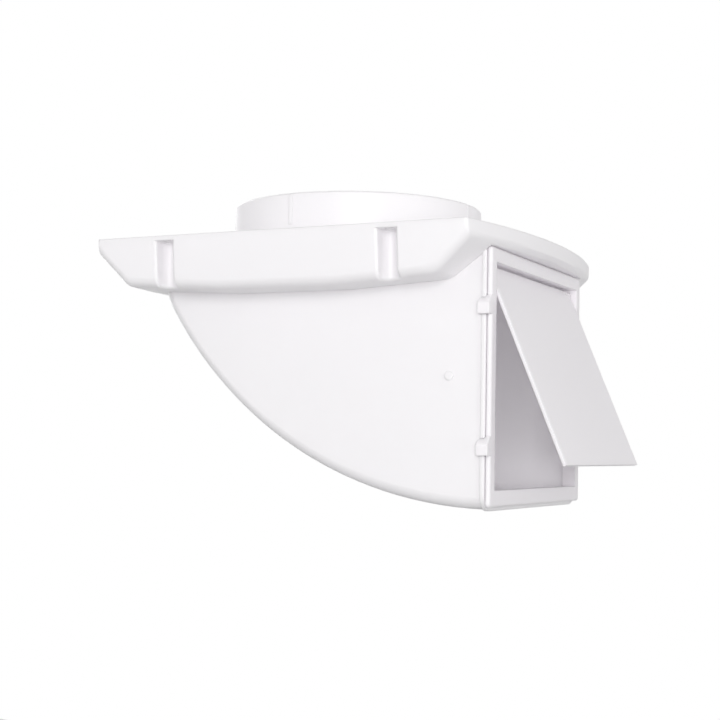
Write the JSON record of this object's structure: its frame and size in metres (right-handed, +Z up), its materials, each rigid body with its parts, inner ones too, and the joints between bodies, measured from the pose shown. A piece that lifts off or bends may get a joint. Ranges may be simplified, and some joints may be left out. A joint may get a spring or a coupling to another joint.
{
  "type": "dryer vent cap",
  "caption": "White plastic dryer vent cap for the underside of an eave: duct collar and tray flange above a curved scoop, with a clipped front frame and a hanging flap.",
  "frame": {"origin": "on the collar's axis, in the plane of the soffit that the flange is screwed to", "axes": "+Z up along the collar into the duct, +X the way the air leaves past the flap"},
  "size_m": [0.1912, 0.14, 0.1174],
  "materials": {
    "hood_plastic": "satin",
    "frame_plastic": "satin",
    "flap_plastic": "fine grained"
  },
  "bodies": {
    "housing": {"hood": "hood_plastic", "front_frame": "frame_plastic"},
    "flap": {"flap": "flap_plastic"}
  },
  "joints": [
    {"name": "flap_hinge", "type": "hinge", "parent": "housing", "child": "flap", "pos_m": [0.0746, 0, -0.0146], "axis": [0, -1, 0], "range_deg": [-22.7, 67.3]}
  ]
}
